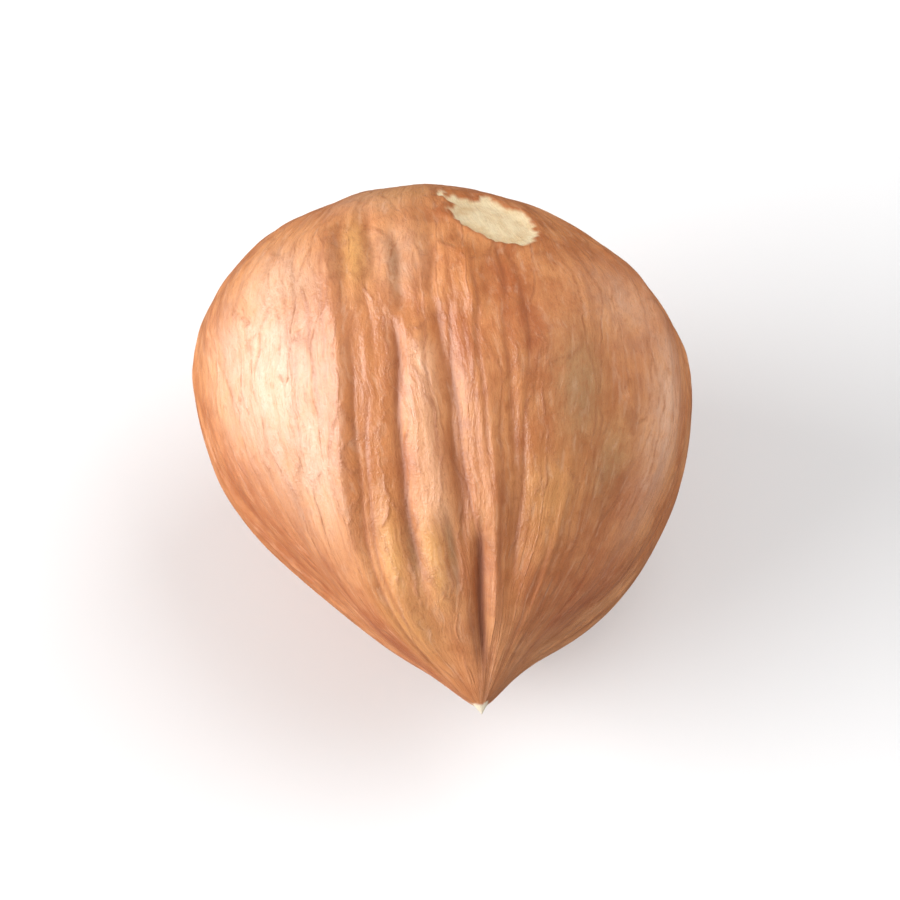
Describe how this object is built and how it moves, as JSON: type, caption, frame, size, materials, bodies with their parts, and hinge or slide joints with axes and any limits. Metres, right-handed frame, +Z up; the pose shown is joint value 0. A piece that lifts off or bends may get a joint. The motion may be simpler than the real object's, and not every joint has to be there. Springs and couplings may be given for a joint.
{
  "type": "hazelnut kernel",
  "caption": "shelled hazelnut kernel with its brown skin on, heart-shaped with a pointed tip, lengthwise furrows and a bare cream spot, lying on its side",
  "frame": {"origin": "middle of the kernel's outline in x and y, on the surface that it rests on", "axes": "+Z up from the resting spot to the furrowed face, -Y along the kernel to its tip, +X to the right lobe"},
  "size_m": [0.014, 0.015, 0.0132],
  "materials": {
    "skin": "thin papery brown skin, satin"
  },
  "bodies": {
    "root": {"kernel": "skin"}
  },
  "joints": []
}
